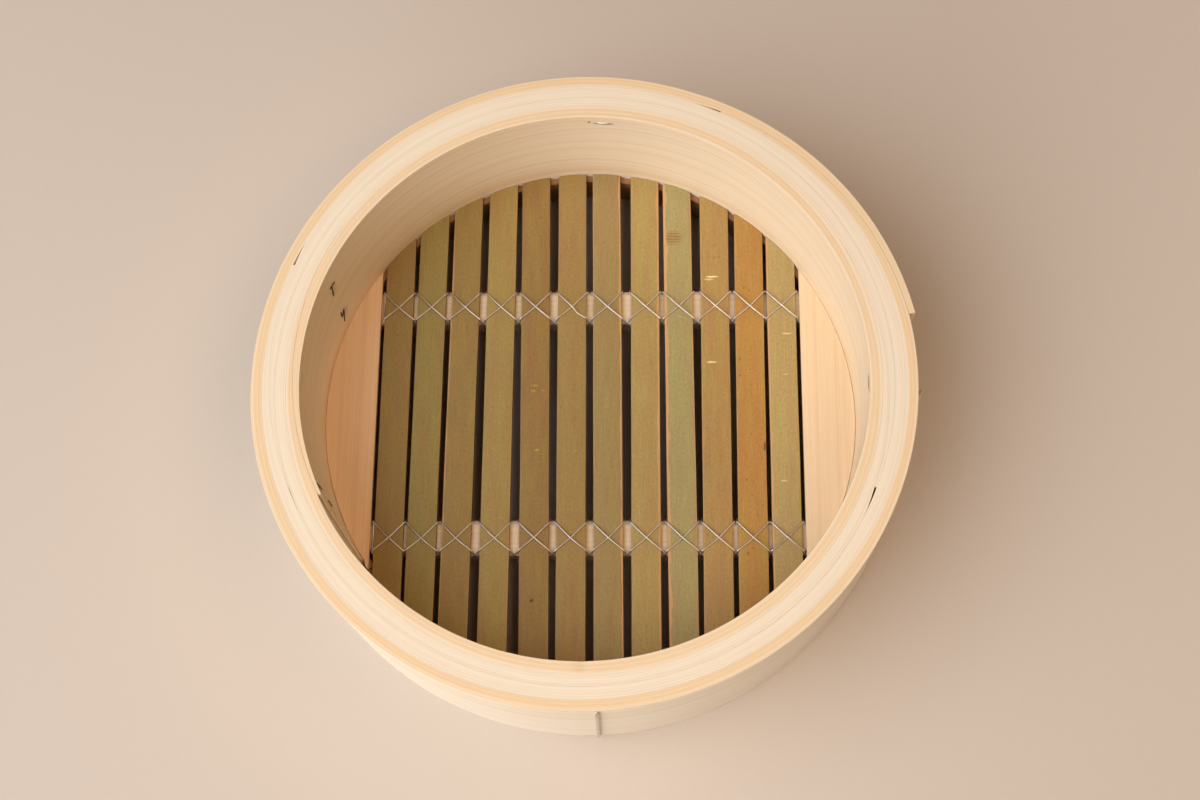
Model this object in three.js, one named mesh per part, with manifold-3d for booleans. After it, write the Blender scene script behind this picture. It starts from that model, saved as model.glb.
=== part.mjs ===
// Round steamer basket, one tier, in millimetres, +Z up, standing on z = 0 with its axis on Z.
// The wall is four thin boards, each bent into a hoop and lapped on itself, one inside the other.
// The floor drops in from above: bamboo slats laced with wire to two crossbars, between two side boards.
import * as THREE from 'three';
import { mergeVertices } from 'three/addons/utils/BufferGeometryUtils.js';
import Module from 'manifold-3d';

const wasm = await Module();
wasm.setup();

// Wall
const OUTER_DIAMETER = 240;
const WALL_HEIGHT = 67;
const HOOP_BOARD = 4.05;
const SEAM = 0.3;
const LAP_FEATHER = 0.5;
const OUTER_LAP_STEP = 2.2;
const INNER_LAP_STEP = 1.8;
const LAP_CRACK_ANGLE = 5;
// Where each hoop's board starts outside and ends inside, degrees round from +X
const OUTER_LAP = [11, 64];
const SECOND_LAP = [158, 202];
const THIRD_LAP = [-22, 25];
const INNER_LAP = [150, 205.5];

// Floor
const RING_HEIGHT = 14.9;
const RING_BOARD = 2.3;
const FLOOR_CLEARANCE = 0.5;
const SLAT_THICKNESS = 1.8;
const SLAT_WIDTH = 11.15;
const SLAT_LEAST_GAP = 2.1;
const SLAT_EDGE = 0.4;
const SLAT_CROWN = 0.35;
const SIDE_BOARD_WIDTH = 19.7;
const SIDE_GAP = 1.55;
// Slats are laid by hand: each gap's share of the mean gap, and each slat's lean, mm per metre of length
const GAP_SHARES = [0.62, 0.83, 1.28, 1.24, 1.2, 1.13, 1.38, 0.91, 1.07, 0.87, 0.6];
const SLAT_LEANS = [0, 4, 5, 0, -13, -8, -11, -4, -10, 0, 3, 0];

// Crossbars and lacing
const BAR_SPACING = 93.5;
const BAR_SHIFT = -0.7;
const BAR_WIDTH = 14;
const BAR_HEIGHT = 9;
const BAR_CORNER = 2.5;
const LACING_WIRE = 0.6;
const STRAND_PITCH = 1.2;
const OVER_LIFT = 0.45;
const LACING_SLACK = 0.8;

// Staples through the wall and stitches through the inner lap
const STAPLE_WIRE = 1.3;
const STAPLE_ANGLES = { right_staple: -3, rear_staple: 84.4, left_staple: 178, front_staple: 272.5 };
const STAPLE_FROM_RIM = 5;
const STAPLE_FROM_FOOT = 6;
const STAPLE_STANDOFF = 0.5;
const STAPLE_TIP = 7;
const STITCH_WIRE = 0.9;
const STITCH_ANGLES = { rear: 157.5, front: 203 };
const STITCH_FROM_RIM = { rear: { upper: 14, lower: 38.5 }, front: { upper: 7, lower: 21.5 } };
const STITCH_LENGTH = 8.5;
const STITCH_LEG = 3.4;
const TIP_PROUD = 0.1;

// Facets
const STEP_ANGLE = 3.75;
const WIRE_SIDES = 5;
const STAPLE_SIDES = 6;

// Derived sizes
const OUTER_RADIUS = OUTER_DIAMETER / 2;
const HOOP_PITCH = HOOP_BOARD + SEAM;
const WALL_RADIUS = OUTER_RADIUS - 4 * HOOP_BOARD - 3 * SEAM;
const FLOOR_RADIUS = WALL_RADIUS - FLOOR_CLEARANCE;
const SLAT_BOTTOM = RING_HEIGHT + SEAM;
const SLAT_TOP = SLAT_BOTTOM + SLAT_THICKNESS;
const BOARD_CHORD = FLOOR_RADIUS - SIDE_BOARD_WIDTH;
const MAT_WIDTH = 2 * (BOARD_CHORD - SIDE_GAP);
const SLAT_COUNT = Math.floor((MAT_WIDTH + SLAT_LEAST_GAP) / (SLAT_WIDTH + SLAT_LEAST_GAP));
const BAR_REACH = WALL_RADIUS - SEAM - RING_BOARD - INNER_LAP_STEP - FLOOR_CLEARANCE;
const BAR_MIDDLE = SLAT_BOTTOM - SEAM - BAR_HEIGHT / 2;
const WIRE_TOP = SLAT_TOP + SLAT_CROWN + SEAM + LACING_WIRE / 2;

// Finishes
const PALE_WOOD = new THREE.MeshStandardMaterial({ color: '#ecd0a2', roughness: 0.7, metalness: 0 });
const BOARD_WOOD = new THREE.MeshStandardMaterial({ color: '#dfb98c', roughness: 0.7, metalness: 0 });
const BAMBOO_SKIN = new THREE.MeshStandardMaterial({ color: '#8f7f4d', roughness: 0.5, metalness: 0 });
const BRIGHT_WIRE = new THREE.MeshStandardMaterial({ color: '#b9b6b0', roughness: 0.3, metalness: 1 });
const DARK_WIRE = new THREE.MeshStandardMaterial({ color: '#5d5650', roughness: 0.45, metalness: 1 });

const radians = THREE.MathUtils.degToRad;
const degrees = THREE.MathUtils.radToDeg;
const axis = new THREE.Vector2(0, 0);
const polar = (angle, radius) => new THREE.Vector2(radius, 0).rotateAround(axis, radians(angle));
const polarPoint = (angle, radius, z) => {
  const flat = polar(angle, radius);
  return new THREE.Vector3(flat.x, flat.y, z);
};

// Solids: a closed mesh goes to the boolean library and comes back as a geometry
function toSolid(geometry) {
  const plain = geometry.clone();
  plain.deleteAttribute('normal');
  plain.deleteAttribute('uv');
  const merged = mergeVertices(plain, 1e-4);
  return new wasm.Manifold(new wasm.Mesh({
    numProp: 3,
    vertProperties: new Float32Array(merged.attributes.position.array),
    triVerts: new Uint32Array(merged.index.array),
  }));
}

function toGeometry(solid) {
  const mesh = solid.getMesh();
  const geometry = new THREE.BufferGeometry();
  geometry.setAttribute('position', new THREE.BufferAttribute(new Float32Array(mesh.vertProperties), 3));
  geometry.setIndex(new THREE.BufferAttribute(new Uint32Array(mesh.triVerts), 1));
  geometry.computeVertexNormals();
  return geometry;
}

const cut = (geometry, tools) =>
  toGeometry(tools.reduce((solid, tool) => solid.subtract(toSolid(tool)), toSolid(geometry)));

function plate(outline, bottom, top) {
  const shape = new THREE.Shape(outline);
  const geometry = new THREE.ExtrudeGeometry(shape, { depth: top - bottom, bevelEnabled: false });
  return geometry.translate(0, 0, bottom);
}

// Angles from start to end at an even step, with the given angles kept exactly
function anglesBetween(start, end, kept = []) {
  const steps = Math.ceil((end - start) / STEP_ANGLE);
  const even = Array.from({ length: steps + 1 }, (_, i) => start + ((end - start) * i) / steps);
  const all = [...even, ...kept.filter((angle) => angle > start && angle < end)].sort((a, b) => a - b);
  return all.filter((angle, i) => i === 0 || angle - all[i - 1] > 0.05);
}

// A board between two radius functions, bent from one angle to another
function bentBoard(start, end, kept, outerFace, innerFace, bottom, top) {
  const angles = anglesBetween(start, end, kept);
  const outside = angles.map((angle) => polar(angle, outerFace(angle)));
  const inside = angles.map((angle) => polar(angle, innerFace(angle))).reverse();
  return plate([...outside, ...inside], bottom, top);
}

// The inner face of the wall drawn in by the lap of the inner hoop
function wallFace(angle) {
  const [start, end] = INNER_LAP;
  const turn = THREE.MathUtils.euclideanModulo(angle - start, 360);
  const along = turn / (end - start);
  return along <= 1 ? WALL_RADIUS - INNER_LAP_STEP * along : WALL_RADIUS;
}

// One hoop: its board starts outside at lap[0], goes once round and ends inside itself at lap[1].
// The two ends are skived, and the gap between them runs from seamStart to seamEnd above the inner face.
function hoop(index, lap, outerStep, innerStep) {
  const inner = OUTER_RADIUS - HOOP_BOARD - index * HOOP_PITCH;
  const outer = inner + HOOP_BOARD;
  const [start, end] = lap;
  const seamStart = outerStep ? outer : outer - LAP_FEATHER - SEAM;
  const seamEnd = innerStep ? inner - SEAM : inner + LAP_FEATHER;
  const along = (angle) => (angle - start) / (end - start);
  const seam = (angle) => THREE.MathUtils.lerp(seamStart, seamEnd, along(angle));
  const fade = (angle, from, length) => Math.max(0, 1 - (angle - from) / length);
  const proud = outerStep ? outerStep + SEAM : 0;
  const outerFace = (angle) => {
    if (angle > start + 360) return seam(angle - 360);
    const rebate = (outer - seamStart) * Math.max(0, 1 - (start + 360 - angle) / LAP_CRACK_ANGLE);
    return outer + proud * fade(angle, start, end + LAP_CRACK_ANGLE - start) - rebate;
  };
  const innerFace = (angle) => {
    if (angle < end) return seam(angle) + SEAM;
    if (angle > start + 360) return inner - innerStep * along(angle - 360);
    return inner + (seamEnd + SEAM - inner) * fade(angle, end, LAP_CRACK_ANGLE);
  };
  const kept = [end, end + LAP_CRACK_ANGLE, start + 360 - LAP_CRACK_ANGLE, start + 360];
  return bentBoard(start, end + 360, kept, outerFace, innerFace, 0, WALL_HEIGHT);
}

// A wire along a path: rings carried along without twist, closed at both ends
function wire(path, diameter, sides) {
  const points = path.filter((point, i) => i === 0 || point.distanceTo(path[i - 1]) > 1e-3);
  const tangents = points.map((point, i) => {
    const before = points[Math.max(i - 1, 0)];
    const after = points[Math.min(i + 1, points.length - 1)];
    const arriving = point.clone().sub(before).normalize();
    const leaving = after.clone().sub(point).normalize();
    return arriving.add(leaving).normalize();
  });
  const positions = [];
  const triangles = [];
  const normal = new THREE.Vector3(0.31, 0.47, 0.83).cross(tangents[0]).normalize();
  points.forEach((point, i) => {
    if (i > 0) {
      const turn = new THREE.Quaternion().setFromUnitVectors(tangents[i - 1], tangents[i]);
      normal.applyQuaternion(turn);
    }
    const side = tangents[i].clone().cross(normal);
    for (let k = 0; k < sides; k += 1) {
      const angle = (2 * Math.PI * k) / sides;
      const spot = point.clone().addScaledVector(normal, Math.cos(angle) * diameter / 2);
      positions.push(...spot.addScaledVector(side, Math.sin(angle) * diameter / 2).toArray());
    }
  });
  for (let i = 0; i + 1 < points.length; i += 1) {
    for (let k = 0; k < sides; k += 1) {
      const a = i * sides + k;
      const b = i * sides + ((k + 1) % sides);
      triangles.push(a, b, a + sides, b, b + sides, a + sides);
    }
  }
  const last = (points.length - 1) * sides;
  for (let k = 1; k + 1 < sides; k += 1) {
    triangles.push(0, k + 1, k);
    triangles.push(last, last + k, last + k + 1);
  }
  const geometry = new THREE.BufferGeometry();
  geometry.setAttribute('position', new THREE.Float32BufferAttribute(positions, 3));
  geometry.setIndex(triangles);
  geometry.computeVertexNormals();
  return geometry;
}

// A box turned to an angle round the wall: its radial extent, its width round the wall and its height
function radialBox(angle, from, to, width, middle, height) {
  const box = new THREE.BoxGeometry(to - from, width, height);
  box.translate((from + to) / 2, 0, middle);
  return box.rotateZ(radians(angle));
}

// Long staples: crown upright outside, legs through the whole wall, tips turned along its inner face
const stapleHeights = { upper: WALL_HEIGHT - STAPLE_FROM_RIM, lower: STAPLE_FROM_FOOT };
const stapleHole = STAPLE_WIRE + 2 * SEAM;
const tipDepth = STAPLE_WIRE / 2 - TIP_PROUD;

function staplePath(angle) {
  const crown = OUTER_RADIUS + STAPLE_STANDOFF + STAPLE_WIRE / 2;
  const tipAngle = degrees(STAPLE_TIP / WALL_RADIUS);
  const bend = STAPLE_WIRE;
  const bendAngle = degrees(bend / WALL_RADIUS);
  const leg = (z, turn, face) => [
    polarPoint(angle + tipAngle, face(angle + tipAngle), z),
    polarPoint(angle + tipAngle / 2, face(angle + tipAngle / 2), z),
    polarPoint(angle + bendAngle, face(angle + bendAngle), z),
    polarPoint(angle, face(angle) + bend, z),
    polarPoint(angle, crown - bend, z),
    polarPoint(angle, crown, z - turn * bend),
  ];
  const upper = leg(stapleHeights.upper, 1, (spot) => wallFace(spot) + tipDepth);
  const under = SEAM + RING_BOARD + SEAM + STAPLE_WIRE / 2;
  const lower = leg(stapleHeights.lower, -1, (spot) => wallFace(spot) - under);
  return [...upper, ...lower.reverse()];
}

function stapleHoles(angle) {
  const reach = OUTER_RADIUS + OUTER_LAP_STEP + HOOP_BOARD;
  return Object.values(stapleHeights).map((z) =>
    radialBox(angle, WALL_RADIUS - 2 * HOOP_BOARD, reach, stapleHole, z, stapleHole));
}

function stapleTipGroove(angle) {
  const length = STAPLE_TIP + 2 * stapleHole;
  const turn = degrees(STAPLE_TIP / 2 / WALL_RADIUS);
  const face = wallFace(angle);
  const depth = tipDepth + STAPLE_WIRE / 2 + 2 * SEAM;
  const { upper } = stapleHeights;
  return radialBox(angle + turn, face - HOOP_BOARD, face + depth, length, upper, stapleHole);
}

// Short stitches: crown upright in a groove of the inner face, legs through both layers of the lap
const stitchSpots = Object.entries(STITCH_ANGLES).flatMap(([side, angle]) =>
  Object.entries(STITCH_FROM_RIM[side]).map(([level, down]) => ({
    name: `${side}_${level}_lap_stitch`,
    angle,
    middle: WALL_HEIGHT - down,
  })));
const stitchHole = STITCH_WIRE + 2 * SEAM;
const crownDepth = STITCH_WIRE / 2 - TIP_PROUD;

function stitchPath({ angle, middle }) {
  const face = wallFace(angle);
  const half = STITCH_LENGTH / 2;
  const bend = STITCH_WIRE;
  const leg = (way) => [
    polarPoint(angle, face + STITCH_LEG, middle + way * half),
    polarPoint(angle, face + crownDepth + bend, middle + way * half),
    polarPoint(angle, face + crownDepth, middle + way * (half - bend)),
  ];
  return [...leg(1), ...leg(-1).reverse()];
}

function stitchCuts({ angle, middle }) {
  const face = wallFace(angle);
  const half = STITCH_LENGTH / 2;
  const mouth = face - HOOP_BOARD;
  const grooveDepth = crownDepth + STITCH_WIRE / 2 + SEAM;
  const grooveLength = STITCH_LENGTH + stitchHole;
  const groove = radialBox(angle, mouth, face + grooveDepth, stitchHole, middle, grooveLength);
  const hole = (way) =>
    radialBox(angle, mouth, face + STITCH_LEG + SEAM, stitchHole, middle + way * half, stitchHole);
  return [groove, hole(1), hole(-1)];
}

// Slats: where each lies across the mat, with its hand-laid gap and lean
const shares = Array.from({ length: SLAT_COUNT - 1 }, (_, i) => GAP_SHARES[i % GAP_SHARES.length]);
const shareSum = shares.reduce((sum, share) => sum + share, 0);
const gapTotal = MAT_WIDTH - SLAT_COUNT * SLAT_WIDTH;
const slats = [];
shares.concat(0).reduce((left, share, i) => {
  const name = `slat_${String(i + 1).padStart(2, '0')}`;
  const lean = SLAT_LEANS[i % SLAT_LEANS.length] / 1000;
  slats.push({ name, middle: left + SLAT_WIDTH / 2, lean });
  return left + SLAT_WIDTH + (share / shareSum) * gapTotal;
}, -MAT_WIDTH / 2);

const slatMiddle = (slat, y) => slat.middle + slat.lean * y;

// Middle of the gap to the right of slat number i, at y; the ends of the mat have half a side gap
function gapMiddle(i, y) {
  if (i === 0) return -MAT_WIDTH / 2 - SIDE_GAP / 2;
  if (i === SLAT_COUNT) return MAT_WIDTH / 2 + SIDE_GAP / 2;
  return (slatMiddle(slats[i - 1], y) + slatMiddle(slats[i], y)) / 2;
}

function disc(radius, bottom, top) {
  const corners = [[0, bottom], [radius, bottom], [radius, top], [0, top]];
  const profile = corners.map(([r, z]) => new THREE.Vector2(r, z));
  return new THREE.LatheGeometry(profile, Math.round(360 / STEP_ANGLE)).rotateX(Math.PI / 2);
}

// A length of a section drawn across X (or Y) and up Z, trimmed to a round
function trimmedLength(section, turn, x, y, radius) {
  const length = 2 * OUTER_RADIUS;
  const stick = new THREE.ExtrudeGeometry(section, { depth: length, bevelEnabled: false, curveSegments: 6 });
  stick.translate(0, 0, -length / 2);
  stick.rotateX(Math.PI / 2);
  stick.rotateZ(turn);
  stick.translate(x, y, 0);
  return toGeometry(toSolid(stick).intersect(toSolid(disc(radius, -WALL_HEIGHT, WALL_HEIGHT))));
}

// Split bamboo: flat underneath, the skin side slightly crowned, its edges eased
function slatSection() {
  const half = SLAT_WIDTH / 2;
  const section = new THREE.Shape();
  section.moveTo(-half, SLAT_BOTTOM);
  section.lineTo(half, SLAT_BOTTOM);
  section.lineTo(half, SLAT_TOP - SLAT_EDGE);
  section.lineTo(half - SLAT_EDGE, SLAT_TOP);
  section.quadraticCurveTo(0, SLAT_TOP + 2 * SLAT_CROWN, SLAT_EDGE - half, SLAT_TOP);
  section.lineTo(-half, SLAT_TOP - SLAT_EDGE);
  return section;
}

// Crossbar: flat on top and underneath, its four corners rounded
const barCornerOut = BAR_WIDTH / 2 - BAR_CORNER;
const barCornerUp = BAR_HEIGHT / 2 - BAR_CORNER;

function barSection() {
  const section = new THREE.Shape();
  const quarter = Math.PI / 2;
  const corners = [[1, 1], [-1, 1], [-1, -1], [1, -1]];
  corners.forEach(([out, up], i) => {
    const z = BAR_MIDDLE + up * barCornerUp;
    section.absarc(out * barCornerOut, z, BAR_CORNER, i * quarter, (i + 1) * quarter, false);
  });
  return section;
}

// Side board: a chord of the round floor, cut back to pass the proud lap end on its own side
function sideBoard(facing) {
  const [, lapEnd] = INNER_LAP;
  const edge = (angle) => wallFace(Math.min(angle, lapEnd)) - FLOOR_CLEARANCE;
  const chordAngle = (way) => {
    let angle = facing;
    for (let i = 0; i < 8; i += 1) {
      angle = facing + way * degrees(Math.acos(BOARD_CHORD / edge(angle)));
    }
    return angle;
  };
  const arc = anglesBetween(chordAngle(-1), chordAngle(1)).map((angle) => polar(angle, edge(angle)));
  return plate(arc, SLAT_BOTTOM, SLAT_TOP);
}

// Lacing: the wire crosses each slat one way, passes down a gap and round under the bar, and goes on to the
// next; at the left end it turns back and crosses every slat the other way, lying over its first strand.
function lacingPath(barY) {
  const cornerTurns = [0, 45, 90];
  const shoulder = LACING_WIRE;
  const strand = (tier, way) => {
    const spare = LACING_SLACK + tier * STRAND_PITCH;
    const halfWidth = BAR_WIDTH / 2 + spare;
    const corner = (i, side) => cornerTurns.map((turn) => {
      const y = barY + side * (barCornerOut + (BAR_CORNER + spare) * Math.cos(radians(turn)));
      const z = BAR_MIDDLE - barCornerUp - (BAR_CORNER + spare) * Math.sin(radians(turn));
      return new THREE.Vector3(gapMiddle(i, y), y, z);
    });
    const spot = (i, side, z) => {
      const y = barY + side * halfWidth;
      return new THREE.Vector3(gapMiddle(i, y), y, z);
    };
    const points = [];
    for (let i = 1; i <= SLAT_COUNT; i += 1) {
      const leaves = spot(i - 1, way, WIRE_TOP + tier * OVER_LIFT);
      const lands = spot(i, -way, WIRE_TOP + tier * OVER_LIFT);
      const along = lands.clone().sub(leaves).normalize();
      points.push(spot(i - 1, way, WIRE_TOP - shoulder));
      points.push(leaves.clone().addScaledVector(along, shoulder));
      if (tier > 0) {
        points.push(leaves.clone().lerp(lands, 0.5).setZ(WIRE_TOP + tier * STRAND_PITCH));
      }
      points.push(lands.clone().addScaledVector(along, -shoulder));
      points.push(spot(i, -way, WIRE_TOP - shoulder));
      points.push(...corner(i, -way));
      if (i < SLAT_COUNT) points.push(...corner(i, way).reverse());
    }
    return points;
  };
  const first = strand(0, -1);
  const second = strand(1, 1);
  const turnBack = (point) => point.clone().setZ(SLAT_BOTTOM + SLAT_THICKNESS / 2);
  const inward = (point, way) => turnBack(point).add(new THREE.Vector3(0, way * shoulder, -shoulder));
  const link = [inward(second[0], -1), inward(first[0], 1)];
  return [...second.reverse(), ...link, ...first];
}

// The least gap between parts of a wire that aren't neighbours along it, from points set along it
function leastGap(path, diameter) {
  const spacing = 0.5;
  const apart = 12 * diameter;
  const spots = [];
  let travelled = 0;
  path.forEach((point, i) => {
    if (i === 0) return;
    const length = point.distanceTo(path[i - 1]);
    const parts = Math.ceil(length / spacing);
    for (let k = 0; k < parts; k += 1) {
      spots.push({ at: travelled + (length * k) / parts, point: path[i - 1].clone().lerp(point, k / parts) });
    }
    travelled += length;
  });
  let least = Infinity;
  spots.forEach((one, i) => {
    for (let k = i + 1; k < spots.length; k += 1) {
      if (spots[k].at - one.at > apart) least = Math.min(least, one.point.distanceTo(spots[k].point));
    }
  });
  return least - diameter;
}

const basket = new THREE.Group();
function add(name, geometry, material) {
  const mesh = new THREE.Mesh(geometry, material);
  mesh.name = name;
  basket.add(mesh);
}

// Wall, bored for the staples; the inner hoop is also grooved for staple tips and stitches
const stapleAngles = Object.values(STAPLE_ANGLES);
const bores = stapleAngles.flatMap(stapleHoles);
add('outer_hoop', cut(hoop(0, OUTER_LAP, OUTER_LAP_STEP, 0), bores), PALE_WOOD);
add('second_hoop', cut(hoop(1, SECOND_LAP, 0, 0), bores), PALE_WOOD);
add('third_hoop', cut(hoop(2, THIRD_LAP, 0, 0), bores), PALE_WOOD);
const grooves = [...stapleAngles.map(stapleTipGroove), ...stitchSpots.flatMap(stitchCuts)];
add('inner_hoop', cut(hoop(3, INNER_LAP, 0, INNER_LAP_STEP), [...bores, ...grooves]), PALE_WOOD);

// Floor ring: a thin board bent inside the foot of the wall, its ends butted at the inner lap end
const ringButt = degrees(SEAM / WALL_RADIUS);
const ringFace = (angle) => wallFace(angle) - SEAM;
const ringStart = INNER_LAP[1] + ringButt;
const ring = bentBoard(ringStart, INNER_LAP[1] + 360 - ringButt, [INNER_LAP[0] + 360], ringFace,
  (angle) => ringFace(angle) - RING_BOARD, 0, RING_HEIGHT);
add('floor_ring', cut(ring, bores), PALE_WOOD);

// Floor
add('left_floor_board', sideBoard(180), BOARD_WOOD);
add('right_floor_board', sideBoard(0), BOARD_WOOD);
slats.forEach((slat) => {
  const turn = -Math.atan(slat.lean);
  add(slat.name, trimmedLength(slatSection(), turn, slat.middle, 0, FLOOR_RADIUS), BAMBOO_SKIN);
});
const bars = { rear: BAR_SHIFT + BAR_SPACING / 2, front: BAR_SHIFT - BAR_SPACING / 2 };
Object.entries(bars).forEach(([side, barY]) => {
  add(`${side}_crossbar`, trimmedLength(barSection(), Math.PI / 2, 0, barY, BAR_REACH), PALE_WOOD);
  const path = lacingPath(barY);
  add(`${side}_lacing_wire`, wire(path, LACING_WIRE, WIRE_SIDES), BRIGHT_WIRE);
  console.log(`${side} lacing wire, least gap to itself: ${leastGap(path, LACING_WIRE).toFixed(2)} mm`);
});

// Staples and stitches
Object.entries(STAPLE_ANGLES).forEach(([name, angle]) => {
  add(name, wire(staplePath(angle), STAPLE_WIRE, STAPLE_SIDES), BRIGHT_WIRE);
});
stitchSpots.forEach((spot) => {
  add(spot.name, wire(stitchPath(spot), STITCH_WIRE, STAPLE_SIDES), DARK_WIRE);
});

export default basket;
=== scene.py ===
# Round steamer basket, one tier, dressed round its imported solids, in metres with +Z up.
# Four bent softwood hoops make the wall; the floor of laced bamboo slats drops in from above.
import math

import bmesh
import bpy
from mathutils import Matrix, Vector, noise


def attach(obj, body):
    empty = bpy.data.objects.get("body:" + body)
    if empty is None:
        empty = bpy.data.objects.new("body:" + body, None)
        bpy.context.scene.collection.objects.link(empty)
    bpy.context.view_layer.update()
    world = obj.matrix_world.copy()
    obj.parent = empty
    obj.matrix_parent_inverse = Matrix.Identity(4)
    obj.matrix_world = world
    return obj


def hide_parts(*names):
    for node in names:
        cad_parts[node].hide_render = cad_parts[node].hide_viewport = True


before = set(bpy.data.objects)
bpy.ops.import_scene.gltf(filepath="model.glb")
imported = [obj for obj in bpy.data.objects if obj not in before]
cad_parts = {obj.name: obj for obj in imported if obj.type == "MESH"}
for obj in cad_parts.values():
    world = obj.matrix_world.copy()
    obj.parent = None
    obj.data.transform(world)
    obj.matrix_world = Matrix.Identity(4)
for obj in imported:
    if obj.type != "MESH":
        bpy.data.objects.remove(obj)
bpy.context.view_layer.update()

MM = 0.001
# Points nearer than this count as one place
SAME_PLACE = 0.001 * MM

# Wall, in millimetres and degrees round from +X, as the solids have it but with the seams pressed shut
OUTER_RADIUS = 120
WALL_HEIGHT = 67
HOOP_BOARD = 4.05
HOOP_PITCH = 4.35
HOOP_SEAM = 0.03
LAP_CRACK_ANGLE = 5
OUTER_LAP = (11, 64)
SECOND_LAP = (158, 202)
THIRD_LAP = (-22, 25)
INNER_LAP = (150, 205.5)
OUTER_LAP_STEP = 2.2
INNER_LAP_STEP = 1.0
# Past its lap the inner hoop is hollowed by this much, over so many degrees
LAP_HOLLOW = 0.2
LAP_HOLLOW_ANGLE = 26
# The inner lap's end is sawn aslant: at the foot it lies this many degrees further round, and the slant
# dies out over the spread before it
LAP_SLANT = 10.5
LAP_SLANT_SPREAD = 20
LAP_SLANT_CUTS = 7
WALL_RADIUS = 102.9
RIM_EASE = 0.4
SEAM_EASE = 0.03
BEND_STEP = 0.75
# A chip in the rim's inner edge: its angle, half-width and depth
RIM_CHIP = (-89.3, 1.5, 0.5)
# A nail hole in the wall's inner face: its angle and height
NAIL_HOLE = (89.35, 62.6)

# Floor
RING_HEIGHT = 14.9
RING_BOARD = 2.3
RING_BUTT_ANGLE = 0.1
FLOOR_RADIUS = 102.75
SLAT_BOTTOM = 15.1
SLAT_TOP = 17
# Between its seats on the bars and the ring a slat is left this much thicker, and thins over a short slope
SLAT_UNCUT = 0.9
SEAT_MARGIN = 0.6
SEAT_SLOPE = 2.5
SLAT_WIDTH = 11.15
SLAT_EDGE = 0.3
SLAT_CROWN = 0.35
# How far a split edge wanders, and over what length
SLAT_WANDER = 0.12
SLAT_WANDER_LENGTH = 35
SLAT_CUTS_ALONG = 80
SLAT_CUTS_ACROSS = 9
# Each slat takes its skin from a place this much further along the cane
SLAT_LENGTH_STEP = 260
BOARD_CHORD = 82.7
BOARD_EASE = 0.15
BOARD_CUT = 0.5
BOARD_STEP = 1
MAT_WIDTH = 162.3
SLAT_COUNT = 12
# The gaps from left to right, as shares of the room that the slats leave, and each slat's lean per thousand
GAP_SHARES = (0.62, 0.83, 1.28, 1.24, 1.2, 1.13, 1.38, 0.91, 1.07, 0.87, 0.6)
SLAT_LEANS = (0, 4, 5, 0, -13, -8, -11, -4, -10, 0, 3, 0)

# Crossbars and lacing
BAR_PLACES = {"rear": 46.05, "front": -47.45}
BAR_WIDTH = 14
BAR_HEIGHT = 9
BAR_CORNER = 2.5
BAR_NEAR_CORNER = 1.1
BAR_END_EASE = 0.5
BAR_CUTS = 40
BAR_MIDDLE = 10.55
BAR_REACH = 98
# Where in the tree each board and bar was sawn, so that their grain differs
BOARD_TREES = {"left": (70, 9, 33), "right": (610, 25, 75)}
BAR_TREES = {"rear": (40, 15, 21), "front": (840, 55, 64)}
LACING_WIRE = 0.7
LACING_STEP = 0.5
# Where the wire meets the slats' edges, on the bar's far and near side, and where its strands cross
LACING_FAR = 4.9
LACING_NEAR = 5.4
LACING_CROSS = -0.85
# How far out of a gap's middle its two wires go down beside the bar, as a share of the way to the slats
LACING_SPREAD = 0.4
# Room between wire and bar, between two wires in a gap, and below the bar for the upper and lower strand
LACING_CLEAR = 0.05
LACING_APART = 0.03
UPPER_SPARE = 0.95
LOWER_SPARE = 0.35
# How tightly the wire bends over a slat's edge, where it straightens below, and where it folds at the start
LACING_BEND = 0.4
LACING_DROP = 1.5
LACING_FOLD = 0.42
LACING_SWAY = 0.4
# A kink in one upper strand: its slat, its bar, how far along the strand and how far aside
LACING_KINK = (6, "rear", 0.7, -1.1)

# Staples and stitches
STAPLE_WIRE = 1.3
STAPLE_STEP = 0.4
# Radius of a staple's bends, in wire thicknesses
STAPLE_BEND = 0.8
STAPLE_ANGLES = {"right": -3, "rear": 84.4, "left": 178, "front": 272.5}
STAPLE_LEANS = {"right": 0.15, "rear": -0.1, "left": 0.2, "front": 0.35}
STAPLE_FROM_RIM = 5
STAPLE_FROM_FOOT = 6
# How far each crown stands off the wall; two are pressed into it
STAPLE_STANDOFFS = {"right": 0.38, "rear": -0.4, "left": -0.4, "front": 0.38}
STAPLE_TIP = 7
TIP_LEAN = 0.4
# How much of half the wire a turned tip shows above the wall's inner face
TIP_SHOWS = {"right": 0.45, "rear": 0.7, "left": 0.15, "front": 0.5}
STITCH_WIRE = 0.9
STITCH_STEP = 0.3
# How deep a stitch's crown lies in the wood, in wire thicknesses
STITCH_SUNK = 0.22
STITCH_ANGLES = {"rear": 157.5, "front": 203}
STITCH_FROM_RIM = {"rear": {"upper": 14, "lower": 38.5}, "front": {"upper": 5.5, "lower": 21.5}}
STITCH_LEG = 3.4
# The bent crown of each stitch: millimetres along and up the wall from its middle
STITCH_CROWNS = {
    "rear_upper": ((-1.8, 2.4), (1.3, 3.2), (0.3, 1.7), (1.4, -3.5)),
    "rear_lower": ((1.9, 4.2), (2.1, 0.4), (-0.1, 2.8), (0.5, 0.1), (1.2, -1.6), (2.1, -4.4)),
    "front_upper": ((0, 4), (0.5, 0.6), (-0.3, -0.4), (0.1, -4)),
    "front_lower": ((2.4, 3.6), (1.9, 0.4), (2.6, -0.6), (2.4, -3.6)),
}


def colour(code):
    """Linear colour of an sRGB hex value."""
    parts = [int(code[i:i + 2], 16) / 255 for i in (1, 3, 5)]
    linear = [part / 12.92 if part <= 0.04045 else ((part + 0.055) / 1.055) ** 2.4 for part in parts]
    return (*linear, 1.0)


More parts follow.
